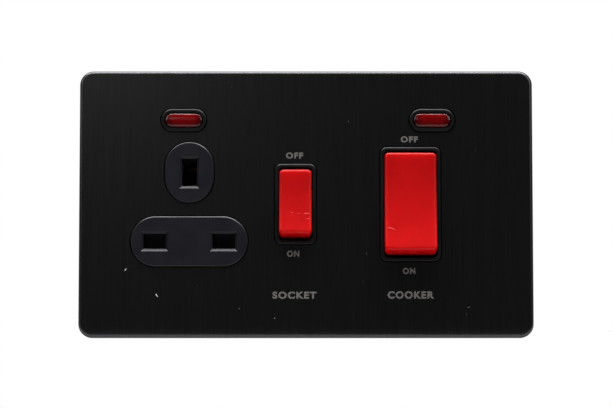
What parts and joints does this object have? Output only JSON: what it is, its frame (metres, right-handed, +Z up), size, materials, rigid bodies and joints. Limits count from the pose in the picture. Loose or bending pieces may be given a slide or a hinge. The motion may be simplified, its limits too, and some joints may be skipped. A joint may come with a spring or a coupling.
{
  "type": "cooker control unit",
  "caption": "Two-gang wall plate with a switched British three-pin socket, a large red cooker rocker switch and neon indicators.",
  "frame": {"origin": "midway between the two wall-box screws, on the plane of the wall", "axes": "+X to the right seen from the front, +Y into the wall, +Z up"},
  "size_m": [0.146, 0.0419, 0.086],
  "materials": {
    "plate_metal": "upright brushing under a black coat",
    "carrier_plastic": "satin",
    "base_plastic": "matt",
    "rocker_red": "gloss",
    "lens_red": "clear red",
    "lamp_glass": "clear",
    "brass": "bright stamped",
    "contact_silver": "bright",
    "screw_steel": "zinc plated",
    "spring_steel": "bright wire",
    "legend_ink": "printed",
    "shutter_plastic": "matt",
    "plunger_plastic": "matt"
  },
  "bodies": {
    "unit": {"front_moulding": "carrier_plastic", "socket_insert": "carrier_plastic", "rear_base": "base_plastic", "fixed_tips": "contact_silver", "shutter_spring": "spring_steel", "socket_neon_lens": "lens_red", "cooker_neon_lens": "lens_red", "socket_neon_lamp": "lamp_glass", "cooker_neon_lamp": "lamp_glass", "supply_live_terminal": "brass", "supply_neutral_terminal": "brass", "cooker_live_terminal": "brass", "cooker_neutral_terminal": "brass", "earth_terminal": "brass", "live_link": "brass", "neutral_link": "brass", "live_socket_contact": "brass", "neutral_socket_contact": "brass", "earth_socket_contact": "brass"},
    "plate": {"face_plate": "plate_metal"},
    "socket_rocker_body": {"socket_rocker": "rocker_red", "socket_live_spring": "spring_steel"},
    "cooker_rocker_body": {"cooker_rocker": "rocker_red", "cooker_live_spring": "spring_steel", "cooker_neutral_spring": "spring_steel"},
    "shutter_body": {"shutter": "shutter_plastic"},
    "cooker_live_plunger_body": {"cooker_live_plunger": "plunger_plastic"},
    "cooker_live_arm_body": {"cooker_live_arm": "brass", "cooker_live_arm_tip": "contact_silver"},
    "cooker_neutral_plunger_body": {"cooker_neutral_plunger": "plunger_plastic"},
    "cooker_neutral_arm_body": {"cooker_neutral_arm": "brass", "cooker_neutral_arm_tip": "contact_silver"},
    "socket_live_plunger_body": {"socket_live_plunger": "plunger_plastic"},
    "socket_live_arm_body": {"socket_live_arm": "brass", "socket_live_arm_tip": "contact_silver"}
  },
  "joints": [
    {"name": "plate_pull", "type": "slide", "parent": "unit", "child": "plate", "axis": [0, -1, 0], "range_m": [0, 0.02]},
    {"name": "socket_switch", "type": "hinge", "parent": "unit", "child": "socket_rocker_body", "pos_m": [-0.0034, -0.0015, 0], "axis": [1, 0, 0], "range_deg": [0, 13]},
    {"name": "cooker_switch", "type": "hinge", "parent": "unit", "child": "cooker_rocker_body", "pos_m": [0.0336, -0.0015, 0], "axis": [1, 0, 0], "range_deg": [0, 13]},
    {"name": "shutter_slide", "type": "slide", "parent": "unit", "child": "shutter_body", "axis": [0, 0, -1], "range_m": [0, 0.006], "stiffness_N_per_m": 120, "springref_m": -0.004, "deforming": ["shutter_spring"]},
    {"name": "cooker_live_plunger_slide", "type": "slide", "parent": "cooker_rocker_body", "child": "cooker_live_plunger_body", "axis": [0, -0.9936, 0.1132], "range_m": [0, 0.0008], "stiffness_N_per_m": 800, "springref_m": -0.002, "deforming": ["cooker_live_spring"]},
    {"name": "cooker_live_arm_rock", "type": "hinge", "parent": "unit", "child": "cooker_live_arm_body", "pos_m": [0.0291, 0.01135, 0], "axis": [1, 0, 0], "range_deg": [-16.9, 0]},
    {"name": "cooker_neutral_plunger_slide", "type": "slide", "parent": "cooker_rocker_body", "child": "cooker_neutral_plunger_body", "axis": [0, -0.9936, 0.1132], "range_m": [0, 0.0008], "stiffness_N_per_m": 800, "springref_m": -0.002, "deforming": ["cooker_neutral_spring"]},
    {"name": "cooker_neutral_arm_rock", "type": "hinge", "parent": "unit", "child": "cooker_neutral_arm_body", "pos_m": [0.0381, 0.01135, 0], "axis": [1, 0, 0], "range_deg": [-16.9, 0]},
    {"name": "socket_live_plunger_slide", "type": "slide", "parent": "socket_rocker_body", "child": "socket_live_plunger_body", "axis": [0, -0.9936, 0.1132], "range_m": [0, 0.0008], "stiffness_N_per_m": 800, "springref_m": -0.002, "deforming": ["socket_live_spring"]},
    {"name": "socket_live_arm_rock", "type": "hinge", "parent": "unit", "child": "socket_live_arm_body", "pos_m": [-0.0034, 0.01135, 0], "axis": [1, 0, 0], "range_deg": [-16.9, 0]}
  ],
  "couplings": [
    {"joint": "cooker_live_arm_rock", "follows": "cooker_switch", "ratio": -1.3},
    {"joint": "cooker_neutral_arm_rock", "follows": "cooker_switch", "ratio": -1.3},
    {"joint": "socket_live_arm_rock", "follows": "socket_switch", "ratio": -1.3}
  ]
}
